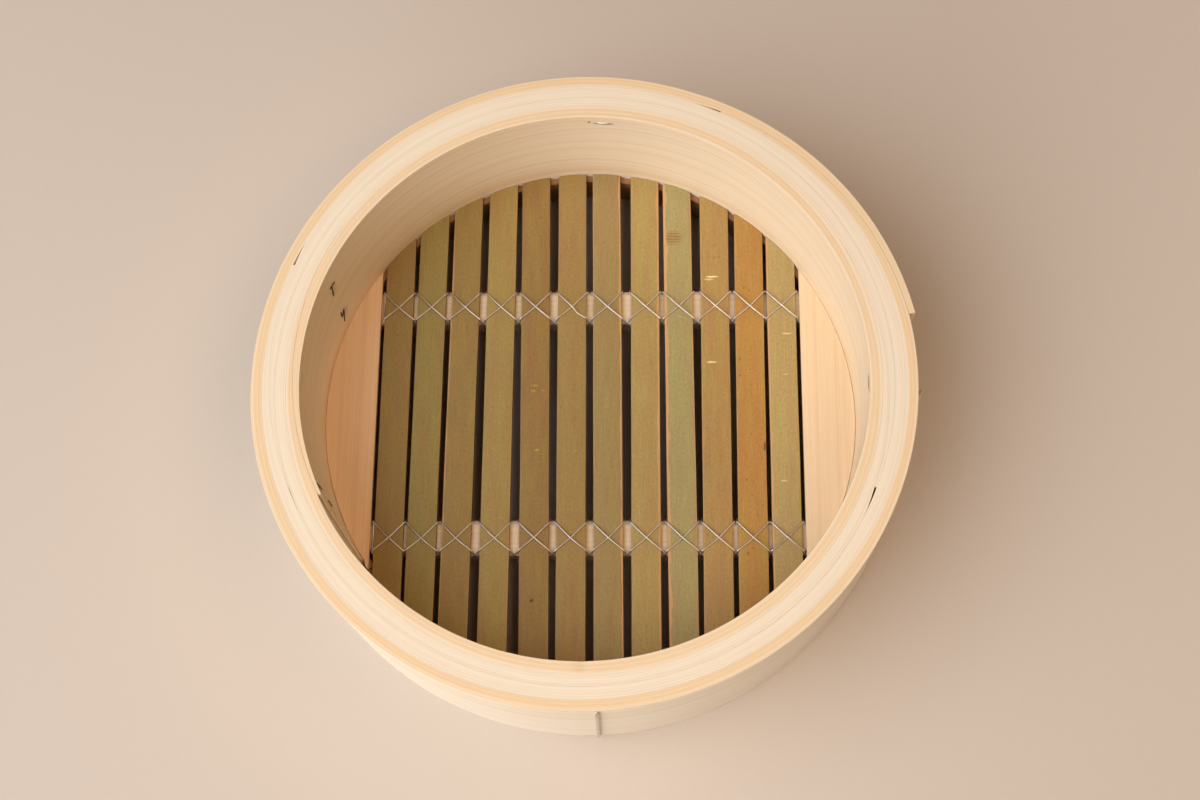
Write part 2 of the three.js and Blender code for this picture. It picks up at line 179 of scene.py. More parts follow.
def join(material, made, links):
    """Gives inputs of a node a value each, or the output of another node."""
    for socket, value in links.items():
        if isinstance(value, bpy.types.NodeSocket):
            material.node_tree.links.new(value, made.inputs[socket])
        else:
            made.inputs[socket].default_value = value


def add_node(material, kind, links, out=0, **settings):
    """Adds a shader node with its settings and links, and returns one of its outputs."""
    made = material.node_tree.nodes.new("ShaderNode" + kind)
    for setting, value in settings.items():
        setattr(made, setting, value)
    join(material, made, links)
    return made.outputs[out]


def new_finish(name):
    """A node material and its shader."""
    material = bpy.data.materials.new(name)
    material.use_nodes = True
    return material, material.node_tree.nodes["Principled BSDF"]


# Sockets of the colour mix: its factor, its two colours and its result
MIX_FACTOR, MIX_FROM, MIX_TO, MIX_RESULT = 0, 6, 7, 2
# Other sockets go by number: a range map has its value at 0, what it reads at 1 and 2, and what it gives
# at 3 and 4


def blot(material, place, centre, reach, strength):
    """How strongly a small oval mark shows at a place, from its centre out to its reach each way."""
    offset = add_node(material, "VectorMath", {0: place, 1: centre}, operation="SUBTRACT")
    shares = [1 / part if part else 0 for part in reach]
    scaled = add_node(material, "VectorMath", {0: offset, 1: shares}, operation="MULTIPLY")
    away = add_node(material, "VectorMath", {0: scaled}, out="Value", operation="LENGTH")
    return add_node(material, "MapRange", {0: away, 1: 1, 2: 0.45, 3: 0, 4: strength})


def planed_softwood(name, spring, summer, heart, lines, spacing, seed, bands=(), marks=()):
    """Planed cypress or cedar, unfinished: pale springwood, soft warm summerwood lines and broad tan bands
    that run along the board, with fine fibres that leave it dry and satin."""
    material, shader = new_finish(name)
    board = add_node(material, "Attribute", {}, out="Vector", attribute_name="board")
    # Rings lie aslant in the board; their spacing is given through it and up its face, in millimetres
    through, up = spacing
    rings = add_node(material, "VectorMath", {0: board, 1: (0, 1 / through, 1 / up)}, out="Value",
                     operation="DOT_PRODUCT")
    # The rings wander by half a ring or so over 150 mm of length
    slow_run = (1 / 150, 1 / 9, 1 / 24)
    stretched = add_node(material, "VectorMath", {0: board, 1: slow_run, 2: (seed, seed, seed)},
                         operation="MULTIPLY_ADD")
    wander = add_node(material, "TexNoise", {"Vector": stretched, "Scale": 1, "Detail": 1})
    shift = add_node(material, "Math", {0: wander, 1: 2.4, 2: seed - 1.2}, operation="MULTIPLY_ADD")
    ring = add_node(material, "Math", {0: rings, 1: shift}, operation="ADD")
    place = add_node(material, "Math", {0: ring}, operation="FRACT")
    number = add_node(material, "Math", {0: ring}, operation="FLOOR")
    weight = add_node(material, "TexWhiteNoise", {"W": number}, noise_dimensions="1D")
    rise = add_node(material, "MapRange", {0: place, 1: 0.2, 2: 0.85}, interpolation_type="SMOOTHSTEP")
    fall = add_node(material, "MapRange", {0: place, 1: 1.0, 2: 0.86}, interpolation_type="SMOOTHSTEP")
    line = add_node(material, "Math", {0: rise, 1: fall}, operation="MULTIPLY")
    drawn = add_node(material, "Math", {0: line, 1: weight}, operation="MULTIPLY")
    faint = add_node(material, "Math", {0: drawn, 1: lines}, operation="MULTIPLY")
    # Tan streaks several rings wide, and the bands that show at the rim
    slow = add_node(material, "Math", {0: ring, 1: 0.4}, operation="MULTIPLY")
    streak = add_node(material, "TexNoise", {"W": slow, "Scale": 1, "Detail": 1}, noise_dimensions="1D")
    tan = add_node(material, "MapRange", {0: streak, 1: 0.5, 2: 0.78, 4: 0.5})
    for middle, half, strength in bands:
        centre = middle / through + WALL_HEIGHT / up + seed
        offset = add_node(material, "Math", {0: ring, 1: centre}, operation="SUBTRACT")
        away = add_node(material, "Math", {0: offset}, operation="ABSOLUTE")
        band = add_node(material, "MapRange", {0: away, 1: half / through, 2: 0, 3: 0, 4: strength},
                        interpolation_type="SMOOTHSTEP")
        tan = add_node(material, "Math", {0: tan, 1: band}, operation="MAXIMUM")
    # Fibres 0.3 mm wide and 15 mm long
    drawn_out = add_node(material, "VectorMath", {0: board, 1: (1 / 15, 3.2, 3.2)}, operation="MULTIPLY")
    fibre = add_node(material, "TexNoise", {"Vector": drawn_out, "Scale": 1, "Detail": 3, "Roughness": 0.6})
    lined = add_node(material, "Mix", {MIX_FACTOR: faint, MIX_FROM: colour(spring), MIX_TO: colour(summer)},
                     out=MIX_RESULT, data_type="RGBA")
    streaked = add_node(material, "Mix", {MIX_FACTOR: tan, MIX_FROM: lined, MIX_TO: colour(heart)},
                        out=MIX_RESULT, data_type="RGBA")
    shade = add_node(material, "MapRange", {0: fibre, 1: 0.25, 2: 0.75, 3: 0.95, 4: 1.04})
    grained = add_node(material, "HueSaturation", {"Value": shade, "Color": streaked})
    # Small marks laid over the grain: real stains, and painted shade where a mark stands for a slit or a
    # dent
    for centre, reach, strength, code in marks:
        shown = blot(material, board, centre, reach, strength)
        grained = add_node(material, "Mix", {MIX_FACTOR: shown, MIX_FROM: grained, MIX_TO: colour(code)},
                           out=MIX_RESULT, data_type="RGBA")
    dry = add_node(material, "MapRange", {0: fibre, 1: 0.2, 2: 0.8, 3: 0.52, 4: 0.7})
    worn = add_node(material, "Math", {0: fibre, 1: drawn}, operation="ADD")
    relief = add_node(material, "Bump", {"Strength": 0.25, "Distance": 0.05 * MM, "Height": worn})
    join(material, shader, {"Base Color": grained, "Roughness": dry, "Normal": relief,
                            "IOR": 1.5, "Specular IOR Level": 0.35})
    return material


# Scratches, blotches and specks: slat number, millimetres across and along it, half-sizes, strength, colour
SKIN_MARKS = (
    (10, -1.1, 57.7, 3, 0.5, 1, "#eee3a4"),
    (10, -2.2, 56.6, 2.2, 0.4, 0.8, "#e6d795"),
    (10, -1.6, 21.9, 2.6, 0.45, 0.95, "#eadd9c"),
    (12, 1.8, 33.7, 2.2, 0.42, 0.85, "#e9dc9c"),
    (12, -0.7, -26, 1.5, 0.36, 0.7, "#e9dc9c"),
    (12, 1.1, 16.9, 1.4, 0.34, 0.6, "#e9dc9c"),
    (9, 0.3, 41, 1.6, 0.25, 0.5, "#d8c88e"),
    (6, 1.5, -14, 0.9, 0.28, 0.4, "#d8c88e"),
    (5, 0.1, 12.6, 1.4, 0.6, 0.65, "#c9a243"),
    (5, -0.5, 10.4, 1.3, 0.7, 0.7, "#c9a243"),
    (5, 3.2, 10.5, 0.9, 0.4, 0.6, "#c9a243"),
    (5, 0.9, -13.6, 1.1, 0.5, 0.8, "#cfa540"),
    (5, 0.6, -8.5, 1.2, 1.8, 0.35, "#b5762e"),
    (5, 3.6, -2.7, 0.9, 1.2, 0.5, "#a9692b"),
    (5, -0.8, -72.3, 0.8, 0.8, 0.8, "#4a3320"),
    (4, -1.2, -12.9, 0.9, 0.7, 0.4, "#c2a552"),
    (11, 5.1, -12.2, 0.7, 2.4, 0.85, "#3a2715"),
)
# How far noise carries the edges of those marks, across and along
MARK_STRAY = (1.8, 0.7, 0)
# The scar of a side shoot, at a node of the cane: slat number, millimetres across and along, half-sizes,
# and the spacing of its lines
SKIN_SCAR = (9, -2.2, 74.5)
SCAR_REACH = (5, 3.6, 0)
SCAR_LINE_SPACING = 1.2


def split_bamboo(name):
    """Split bamboo laid skin up: a waxy olive skin with fine lengthwise fibres, scattered specks and pale
    scuffs, and tan flesh where the skin stops at the split edges, with painted shade darkening the flesh
    down the sides and underneath."""
    material, shader = new_finish(name)
    lay = add_node(material, "Attribute", {}, out="Vector", attribute_name="lay")
    tone = add_node(material, "Attribute", {}, out="Color", attribute_name="tone")
    margins = add_node(material, "Attribute", {}, out="Vector", attribute_name="margins")
    across = add_node(material, "SeparateXYZ", {0: lay}, out="X")
    along = add_node(material, "SeparateXYZ", {0: lay}, out="Y")
    depth = add_node(material, "SeparateXYZ", {0: lay}, out="Z")
    left_margin = add_node(material, "SeparateXYZ", {0: margins}, out="X")
    right_margin = add_node(material, "SeparateXYZ", {0: margins}, out="Y")
    blotching = add_node(material, "SeparateXYZ", {0: margins}, out="Z")
    # Fibres 0.4 mm wide and 12 mm long, on a mottling of about a millimetre
    drawn_out = add_node(material, "VectorMath", {0: lay, 1: (2.6, 1 / 12, 1)}, operation="MULTIPLY")
    fibre = add_node(material, "TexNoise", {"Vector": drawn_out, "Scale": 1, "Detail": 4, "Roughness": 0.6})
    mottled = add_node(material, "VectorMath", {0: lay, 1: (1.3, 0.9, 1)}, operation="MULTIPLY")
    mottle = add_node(material, "TexNoise", {"Vector": mottled, "Scale": 1, "Detail": 2, "Roughness": 0.7})
    surface = add_node(material, "Math", {0: fibre, 1: mottle}, operation="ADD")
    # Clouds of tone 5 mm wide and 16 mm long
    clouded = add_node(material, "VectorMath", {0: lay, 1: (1 / 5, 1 / 16, 1)}, operation="MULTIPLY")
    cloud = add_node(material, "TexNoise", {"Vector": clouded, "Scale": 1, "Detail": 4, "Roughness": 0.65})
    patch = add_node(material, "MapRange", {0: cloud, 1: 0.45, 2: 0.72})
    brown = add_node(material, "Math", {0: patch, 1: blotching}, operation="MULTIPLY")
    skin = add_node(material, "Mix", {MIX_FACTOR: brown, MIX_FROM: tone, MIX_TO: colour("#ad8340")},
                    out=MIX_RESULT, data_type="RGBA")
    # Lengthwise drifts of hue, 4 mm wide and 45 mm long
    drifted = add_node(material, "VectorMath", {0: lay, 1: (1 / 4, 1 / 45, 1)}, operation="MULTIPLY")
    drift = add_node(material, "TexNoise", {"Vector": drifted, "Scale": 1, "Detail": 1})
    hue = add_node(material, "MapRange", {0: drift, 1: 0.3, 2: 0.7, 3: 0.489, 4: 0.511})
    shade = add_node(material, "MapRange", {0: surface, 1: 0.65, 2: 1.35, 3: 0.8, 4: 1.19})
    fibred = add_node(material, "HueSaturation", {"Hue": hue, "Value": shade, "Color": skin})
    # Specks up to 0.7 mm across, on about one place in eight, where the skin is blotched
    peppered = add_node(material, "VectorMath", {0: lay, 1: (0.5, 0.3, 1)}, operation="MULTIPLY")
    speck = add_node(material, "TexVoronoi", {"Vector": peppered, "Scale": 1}, voronoi_dimensions="2D")
    chance = add_node(material, "TexVoronoi", {"Vector": peppered, "Scale": 1}, out="Color",
                      voronoi_dimensions="2D")
    drawn_by_lot = add_node(material, "SeparateColor", {0: chance}, out="Red")
    size = add_node(material, "MapRange", {0: drawn_by_lot, 1: 0.87, 2: 1, 3: 0.02, 4: 0.2})
    spare = add_node(material, "Math", {0: size, 1: speck}, operation="SUBTRACT")
    speckled = add_node(material, "MapRange", {0: spare, 1: 0, 2: 0.05, 3: 0, 4: 1})
    dot = add_node(material, "Math", {0: speckled, 1: blotching}, operation="MULTIPLY")
    specked = add_node(material, "Mix", {MIX_FACTOR: dot, MIX_FROM: fibred, MIX_TO: colour("#6b5230")},
                       out=MIX_RESULT, data_type="RGBA")
    # Marks are ragged; noise is half strength on average, so their centres move by half of the stray
    ragged = add_node(material, "TexNoise", {"Vector": lay, "Scale": 1.1, "Detail": 2}, out="Color")
    strayed = add_node(material, "VectorMath", {0: ragged, 1: MARK_STRAY, 2: lay},
                       operation="MULTIPLY_ADD")
    stray_x, stray_y = MARK_STRAY[0] / 2, MARK_STRAY[1] / 2
    for number, x, y, half_width, half_length, strength, code in SKIN_MARKS:
        centre = (x + stray_x, y + stray_y + (number - 1) * SLAT_LENGTH_STEP, 0)
        mark = blot(material, strayed, centre, (half_width, half_length, 0), strength)
        specked = add_node(material, "Mix", {MIX_FACTOR: mark, MIX_FROM: specked, MIX_TO: colour(code)},
                           out=MIX_RESULT, data_type="RGBA")
    number, x, y = SKIN_SCAR
    scarred = blot(material, lay, (x, y + (number - 1) * SLAT_LENGTH_STEP, 0), SCAR_REACH, 1)
    # Its lines bend with the surface
    bent = add_node(material, "Math", {0: cloud, 1: 3, 2: along}, operation="MULTIPLY_ADD")
    wrinkle = add_node(material, "Math", {0: bent, 1: math.tau / SCAR_LINE_SPACING}, operation="MULTIPLY")
    ridge = add_node(material, "Math", {0: wrinkle}, operation="SINE")
    seen = add_node(material, "MapRange", {0: ridge, 1: -0.2, 2: 0.8, 3: 0.25, 4: 0.9})
    scar = add_node(material, "Math", {0: seen, 1: scarred}, operation="MULTIPLY")
    aged = add_node(material, "Mix", {MIX_FACTOR: scar, MIX_FROM: specked, MIX_TO: colour("#8e6540")},
                    out=MIX_RESULT, data_type="RGBA")
    # The skin stops short of each split edge by a wavering margin
    edge_wave = add_node(material, "VectorMath", {0: lay, 1: (0.25, 1 / 11, 0)}, operation="MULTIPLY")
    wave = add_node(material, "TexNoise", {"Vector": edge_wave, "Scale": 1, "Detail": 3})
    swing = add_node(material, "MapRange", {0: wave, 1: 0.3, 2: 0.7, 3: 0.4, 4: 1.5})
    left_flesh = add_node(material, "Math", {0: left_margin, 1: swing}, operation="MULTIPLY")
    right_flesh = add_node(material, "Math", {0: right_margin, 1: swing}, operation="MULTIPLY")
    from_left = add_node(material, "Math", {0: across, 1: SLAT_WIDTH / 2}, operation="ADD")
    from_right = add_node(material, "Math", {0: SLAT_WIDTH / 2, 1: across}, operation="SUBTRACT")
    left_skin = add_node(material, "Math", {0: from_left, 1: left_flesh}, operation="SUBTRACT")
    right_skin = add_node(material, "Math", {0: from_right, 1: right_flesh}, operation="SUBTRACT")
    inside = add_node(material, "Math", {0: left_skin, 1: right_skin}, operation="MINIMUM")
    covered = add_node(material, "MapRange", {0: inside, 1: -0.1, 2: 0.12})
    thin = add_node(material, "MapRange", {0: depth, 1: 0.7, 2: 0.4})
    skinned = add_node(material, "Math", {0: covered, 1: thin}, operation="MULTIPLY")
    flesh = add_node(material, "Mix", {MIX_FACTOR: fibre, MIX_FROM: colour("#b9854a"),
                                       MIX_TO: colour("#dcb484")}, out=MIX_RESULT, data_type="RGBA")
    # Painted shade: the flesh darkens to a near black-brown down the sides and underneath, standing for the
    # shade in the gaps between slats
    deep = add_node(material, "MapRange", {0: depth, 1: 0.3, 2: 0.9})
    flesh_in_painted_shade = add_node(material, "Mix", {MIX_FACTOR: deep, MIX_FROM: flesh, MIX_TO: colour("#5a3d20")},
                           out=MIX_RESULT, data_type="RGBA")
    dressed = add_node(material, "Mix", {MIX_FACTOR: skinned, MIX_FROM: flesh_in_painted_shade, MIX_TO: aged},
                       out=MIX_RESULT, data_type="RGBA")
    satin = add_node(material, "MapRange", {0: skinned, 3: 0.68, 4: 0.44})
    relief = add_node(material, "Bump", {"Strength": 0.3, "Distance": 0.06 * MM, "Height": surface})
    join(material, shader, {"Base Color": dressed, "Roughness": satin, "Normal": relief,
                            "IOR": 1.5, "Specular IOR Level": 0.3})
    return material


def drawn_wire(name, bright, dull, least_rough, most_rough):
    """Drawn steel wire: a bright metal, dulled in patches by handling."""
    material, shader = new_finish(name)
    place = add_node(material, "TexCoord", {}, out="Object")
    # Dull patches about 4 mm long
    patch = add_node(material, "TexNoise", {"Vector": place, "Scale": 1 / (4 * MM), "Detail": 3})
    dulled = add_node(material, "Mix", {MIX_FACTOR: patch, MIX_FROM: colour(bright), MIX_TO: colour(dull)},
                      out=MIX_RESULT, data_type="RGBA")
    rough = add_node(material, "MapRange", {0: patch, 1: 0.3, 2: 0.7, 3: least_rough, 4: most_rough})
    join(material, shader, {"Base Color": dulled, "Roughness": rough, "Metallic": 1.0})
    return material


def inner_spot(angle, z):
    """A spot on the wall's inner face, in the inner hoop's own lengths along, through and up."""
    start, end = INNER_LAP
    turned = (angle - start) % 360
    if turned <= end - start:
        turned += 360
    return math.radians(turned) * WALL_RADIUS, 0, z


# Marks on the wall's inner face: dark slits over two turned staple tips, painted shade with no groove cut,
# a faint grey streak over the third tip, a nail hole painted as an orange-brown spot with no hollow, and
# darkening round the stitches that is partly an iron stain and partly painted shade for the dent they press
tip_middle = math.degrees(STAPLE_TIP / WALL_RADIUS / 2)
tip_height = WALL_HEIGHT - STAPLE_FROM_RIM
wall_stains_and_painted_shade = [
    # Painted shade: dark slits where the turned tips lie in the wood
    (inner_spot(STAPLE_ANGLES["rear"] + tip_middle, tip_height - 0.2), (4.6, 0, 0.95), 0.85, "#5f432c"),
    (inner_spot(STAPLE_ANGLES["right"] + tip_middle, tip_height), (4.2, 0, 0.9), 0.95, "#4f3825"),
    (inner_spot(STAPLE_ANGLES["left"] + tip_middle, tip_height), (4, 0, 0.8), 0.5, "#a08868"),
    (inner_spot(*NAIL_HOLE), (0.85, 0, 0.85), 0.95, "#b3732c"),
]
for side, levels in STITCH_FROM_RIM.items():
    for from_rim in levels.values():
        spot = inner_spot(STITCH_ANGLES[side], WALL_HEIGHT - from_rim)
        # Partly an iron stain, partly painted shade for the dent the stitch presses
        wall_stains_and_painted_shade.append((spot, (3.2, 0, 6), 0.22, "#7d5a39"))

hoop_woods = {
    "outer_hoop": planed_softwood(
        "Planed cypress, outer hoop", "#f7ecda", "#ebd4b1", "#efcf9f", 0.45, (0.8, -4), 10,
        bands=((1.1, 1.6, 0.95), (2.4, 1.7, 0.95), (3.7, 1, 0.75))),
    "second_hoop": planed_softwood(
        "Planed cypress, second hoop", "#f5e8d2", "#e7cda6", "#efd8b4", 0.6, (1.05, 6), 40),
    "third_hoop": planed_softwood(
        "Planed cypress, third hoop", "#f5e8d1", "#e7cca4", "#efd7b2", 0.6, (1.0, 6), 70),
    "inner_hoop": planed_softwood(
        "Planed cypress, inner hoop", "#f9e8cd", "#efd2a9", "#eecd9f", 0.55, (1.3, 3.4), 100,
        bands=((1.1, 1.5, 0.8), (2.5, 1.5, 0.8)), marks=wall_stains_and_painted_shade),
    # Painted shade: the floor ring is coloured dark brown to stand for the shade it lies in under the slats
    # and at the gaps' far ends
    "floor_ring": planed_softwood(
        "Planed wood in painted shade, floor ring", "#a87a4c", "#8a6038", "#966c42", 0.5, (1.3, 5), 130),
}
board_woods = {
    # Painted shade: both boards are one wood, but the left copy is tinted darker and warmer for the shade
    # the left wall casts on it
    "left": planed_softwood(
        "Planed cedar, left board", "#f5d3ab", "#e4b286", "#ebbd92", 0.4, (2.2, 1.3), 160),
    "right": planed_softwood(
        "Planed cedar, right board", "#f4d9b3", "#eac294", "#edc99c", 0.35, (2.2, 1.2), 164),
}
bar_wood = planed_softwood(
    "Rounded cypress, crossbars", "#f0dabb", "#dfbf96", "#e6c9a2", 0.5, (2.4, 3), 200)
bamboo = split_bamboo("Split bamboo, skin side")
bright_wire = drawn_wire("Drawn steel, lacing", "#e4ded5", "#c2b9ad", 0.32, 0.48)
staple_steel = drawn_wire("Drawn steel, staples", "#eae7e2", "#cbc6be", 0.3, 0.45)
dark_wire = drawn_wire("Oxidised iron, stitches", "#6d6157", "#42372f", 0.45, 0.65)


# Faces that meet at more than this stay crisp
CRISP = math.radians(38)


def piece(shape, name, body, finish, node):
    """Makes a shape a piece that moves with a body and stands for its solid."""
    bmesh.ops.recalc_face_normals(shape, faces=shape.faces)
    for face in shape.faces:
        face.smooth = True
    for edge in shape.edges:
        edge.smooth = edge.calc_face_angle(0) < CRISP
    mesh = bpy.data.meshes.new(name)
    shape.to_mesh(mesh)
    shape.free()
    mesh.materials.append(finish)
    made = bpy.data.objects.new(name, mesh)
    bpy.context.scene.collection.objects.link(made)
    even = made.modifiers.new("Even shading", "WEIGHTED_NORMAL")
    even.keep_sharp = True
    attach(made, body)
    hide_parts(node)


def lerp(start, end, share):
    """The value at a share of the way between two."""
    return start + (end - start) * share


def polar(angle, radius, z):
    """A point in metres from degrees round +X, millimetres out and millimetres up."""
    turn = math.radians(angle)
    return Vector((radius * math.cos(turn), radius * math.sin(turn), z)) * MM


def block(low, high):
    """A box between two corners in metres."""
    shape = bmesh.new()
    bmesh.ops.create_cube(shape, size=1)
    low, high = Vector(low), Vector(high)
    bmesh.ops.scale(shape, vec=high - low, verts=shape.verts)
    bmesh.ops.translate(shape, vec=(low + high) / 2, verts=shape.verts)
    return shape


def ease(shape, edges, width, segments=2):
    """Rounds edges over by a width in millimetres."""
    bmesh.ops.bevel(shape, geom=edges, offset=width * MM, segments=segments, profile=0.5,
                    affect="EDGES", material=-1, clamp_overlap=True)


def along_axis(shape, axis, least):
    """Edges that run along an axis for at least a length in metres."""
    spans = ((edge, edge.verts[0].co - edge.verts[1].co) for edge in shape.edges)
    return [edge for edge, span in spans if abs(span[axis]) > least]


def on_face(edge, axis, place):
    """Whether an edge lies on the plane at a place along an axis."""
    return all(abs(vert.co[axis] - place) < SAME_PLACE for vert in edge.verts)


# Bent boards


def bent_board(start, end, outer_face, inner_face, bottom, top, eases, chip=None, slant=0):
    """A straight board, its inner and outer edges eased, bent round the axis between two faces given by
    angle. A slant carries the foot of its last end further round."""
    reach = math.radians(end - start) * WALL_RADIUS * MM
    thick = HOOP_BOARD * MM
    shape = block((0, 0, bottom * MM), (reach, thick, top * MM))
    for face, width in zip((0, thick), eases):
        ease(shape, [edge for edge in along_axis(shape, 0, reach / 2) if on_face(edge, 1, face)], width)
    if slant:
        upright_edges = along_axis(shape, 2, (top - bottom) * MM / 2)
        bmesh.ops.subdivide_edges(shape, edges=upright_edges, cuts=LAP_SLANT_CUTS, use_grid_fill=True)
    steps = round((end - start) / BEND_STEP)
    long_edges = along_axis(shape, 0, reach / 2)
    bmesh.ops.subdivide_edges(shape, edges=long_edges, cuts=steps - 1, use_grid_fill=True)
    board = shape.verts.layers.float_vector.new("board")
    for vert in shape.verts:
        vert[board] = vert.co / MM
        along, through, up = vert.co
        angle = lerp(start, end, along / reach)
        radius = lerp(inner_face(angle), outer_face(angle), through / thick)
        height = up / MM
        if chip and height > top - 1 and through < thick / 2:
            spot, half, depth = chip
            off = abs((angle - spot + 180) % 360 - 180) / half
            height -= depth * max(0, 1 - off ** 2)
        near_end = max(0, 1 - (end - angle) / LAP_SLANT_SPREAD)
        turned = angle + slant * near_end * (1 - height / WALL_HEIGHT)
        vert.co = polar(turned, radius, height)
    return shape


def lap_end(height):
    """Angle of the inner lap's end, which is sawn aslant."""
    return INNER_LAP[1] + LAP_SLANT * (1 - height / WALL_HEIGHT)


def wall_face(angle, height=WALL_HEIGHT):
    """Radius of the wall's inner face, drawn in by the lap of the inner hoop and hollowed past it."""
    start, end = INNER_LAP[0], lap_end(height)
    past = (angle - start) % 360 - (end - start)
    if past <= 0:
        return WALL_RADIUS - INNER_LAP_STEP * (1 + past / (end - start))
    return WALL_RADIUS + LAP_HOLLOW * max(0, 1 - past / LAP_HOLLOW_ANGLE)


def hoop(index, lap, feathers, outer_step, inner_step):
    """One hoop: its board starts outside at lap[0], goes once round and ends inside itself at lap[1].
    A feathered end leaves a short crack at the rim, as wide as the feather's blunt edge."""
    inner = OUTER_RADIUS - HOOP_BOARD - index * HOOP_PITCH
    outer = OUTER_RADIUS if index == 0 else inner + HOOP_PITCH - HOOP_SEAM
    start, end = lap
    first_feather, last_feather = feathers
    seam_start = outer if outer_step else outer - first_feather - HOOP_SEAM
    seam_end = inner - HOOP_SEAM if inner_step else inner + last_feather
    proud = outer_step + HOOP_SEAM if outer_step else 0

    def seam(angle):
        """Where the two layers of the lap meet."""
        return lerp(seam_start, seam_end, (angle - start) / (end - start))

    def fade(angle, first, length):
        return max(0, 1 - (angle - first) / length)

    def outer_face(angle):
        if angle > start + 360:
            return seam(angle - 360)
        rebate = (outer - seam_start) * max(0, 1 - (start + 360 - angle) / LAP_CRACK_ANGLE)
        return outer + proud * fade(angle, start, end + LAP_CRACK_ANGLE - start) - rebate

    def inner_face(angle):
        if angle < end:
            return seam(angle) + HOOP_SEAM
        if angle > start + 360:
            return inner - inner_step * (angle - 360 - start) / (end - start)
        if inner_step:
            return wall_face(angle)
        return inner + (seam_end + HOOP_SEAM - inner) * fade(angle, end, LAP_CRACK_ANGLE)

    innermost = bool(inner_step)
    eases = (RIM_EASE if innermost else SEAM_EASE, RIM_EASE if index == 0 else SEAM_EASE)
    chip = RIM_CHIP if innermost else None
    slant = LAP_SLANT if innermost else 0
    return bent_board(start, end + 360, outer_face, inner_face, 0, WALL_HEIGHT, eases, chip, slant)


# Each hoop: its lap, the blunt edges of its feathered ends, and its steps outside and inside
hoops = {
    "outer_hoop": (OUTER_LAP, (0, 0.7), OUTER_LAP_STEP, 0),
    "second_hoop": (SECOND_LAP, (0.7, 0.15), 0, 0),
    "third_hoop": (THIRD_LAP, (0.7, 0.05), 0, 0),
    "inner_hoop": (INNER_LAP, (0.05, 0), 0, INNER_LAP_STEP),
}
for index, (name, shaping) in enumerate(hoops.items()):
    piece(hoop(index, *shaping), name + "_wood", "wall", hoop_woods[name], name)


def ring_outside(angle):
    """Radius of the ring's outer face, against the wall."""
    return wall_face(angle, 0) - HOOP_SEAM


def ring_inside(angle):
    """Radius of the ring's inner face."""
    return ring_outside(angle) - RING_BOARD


ring = bent_board(lap_end(0) + RING_BUTT_ANGLE, lap_end(0) + 360 - RING_BUTT_ANGLE,
                  ring_outside, ring_inside, 0, RING_HEIGHT, (RIM_EASE, SEAM_EASE))
piece(ring, "floor_ring_wood", "wall", hoop_woods["floor_ring"], "floor_ring")


# Side boards


def board_outside(angle, facing):
    """Radius of a side board's round edge: the left one is cut back to pass the proud lap end, and past it
    the cut leaves a gap that widens to the board's corner."""
    if facing > 0:
        return FLOOR_RADIUS
    end = lap_end(SLAT_BOTTOM)
    corner = 180 + math.degrees(math.acos(BOARD_CHORD / FLOOR_RADIUS))
    cut = BOARD_CUT * max(0, angle - end) / (corner - end)
    lap = min(wall_face(angle, SLAT_BOTTOM), wall_face(angle - BOARD_STEP, SLAT_BOTTOM))
    return min(wall_face(angle), lap) - WALL_RADIUS + FLOOR_RADIUS - cut


def side_board(facing, tree):
    """A chord of the round floor; grain along Y."""
    shape = bmesh.new()
    steps = round(360 / BOARD_STEP)
    bmesh.ops.create_circle(shape, cap_ends=True, segments=steps, radius=FLOOR_RADIUS * MM)
    for vert in shape.verts:
        angle = math.degrees(math.atan2(vert.co.y, vert.co.x)) % 360
        vert.co = polar(angle, board_outside(angle, facing), SLAT_BOTTOM)
    everything = shape.verts[:] + shape.edges[:] + shape.faces[:]
    bmesh.ops.bisect_plane(shape, geom=everything, plane_co=(facing * BOARD_CHORD * MM, 0, 0),
                           plane_no=(facing, 0, 0), clear_inner=True)
    grown = bmesh.ops.extrude_face_region(shape, geom=shape.faces[:])
    lifted = [item for item in grown["geom"] if isinstance(item, bmesh.types.BMVert)]
    bmesh.ops.translate(shape, vec=(0, 0, (SLAT_TOP - SLAT_BOTTOM) * MM), verts=lifted)
    bmesh.ops.recalc_face_normals(shape, faces=shape.faces)
    sharp = [edge for edge in shape.edges if edge.calc_face_angle(0) > CRISP]
    ease(shape, sharp, BOARD_EASE)
    board = shape.verts.layers.float_vector.new("board")
    for vert in shape.verts:
        vert[board] = Vector((vert.co.y, vert.co.z, vert.co.x)) / MM + Vector(tree)
    return shape


for side, facing in (("left", -1), ("right", 1)):
    piece(side_board(facing, BOARD_TREES[side]), side + "_board_wood", "floor",
          board_woods[side], side + "_floor_board")


# Slats

# Each slat: its skin tone, how far the skin stops short of its left and right edge, and how blotched it is
SLAT_SKINS = (
    ("#9a824f", 0.12, 0.05, 0.25),
    ("#9c8c53", 0.12, 0.05, 0.2),
    ("#9d854f", 0.45, 0.05, 0.3),
    ("#a79056", 0.05, 0.15, 0.2),
    ("#987b49", 0.05, 0.1, 0.4),
    ("#a18651", 0.05, 0.1, 0.25),
    ("#a08a58", 0.2, 0.7, 0.15),
    ("#ad945b", 0.05, 0.85, 0.2),
    ("#a69866", 1.2, 0.3, 0.05),
    ("#ab8c55", 0.2, 0.05, 0.4),
    ("#b38848", 0.15, 0.15, 0.7),
    ("#b49d66", 0.65, 0.1, 0.1),
)
gap_total = MAT_WIDTH - SLAT_COUNT * SLAT_WIDTH
slat_middles = []
left = -MAT_WIDTH / 2
for share in (*GAP_SHARES, 0):
    slat_middles.append(left + SLAT_WIDTH / 2)
    left += SLAT_WIDTH + gap_total * share / sum(GAP_SHARES)


def slat_middle(index, y):
    """Where a slat's middle lies across the mat, at y millimetres from its centre."""
    return slat_middles[index] + SLAT_LEANS[index] * y / 1000


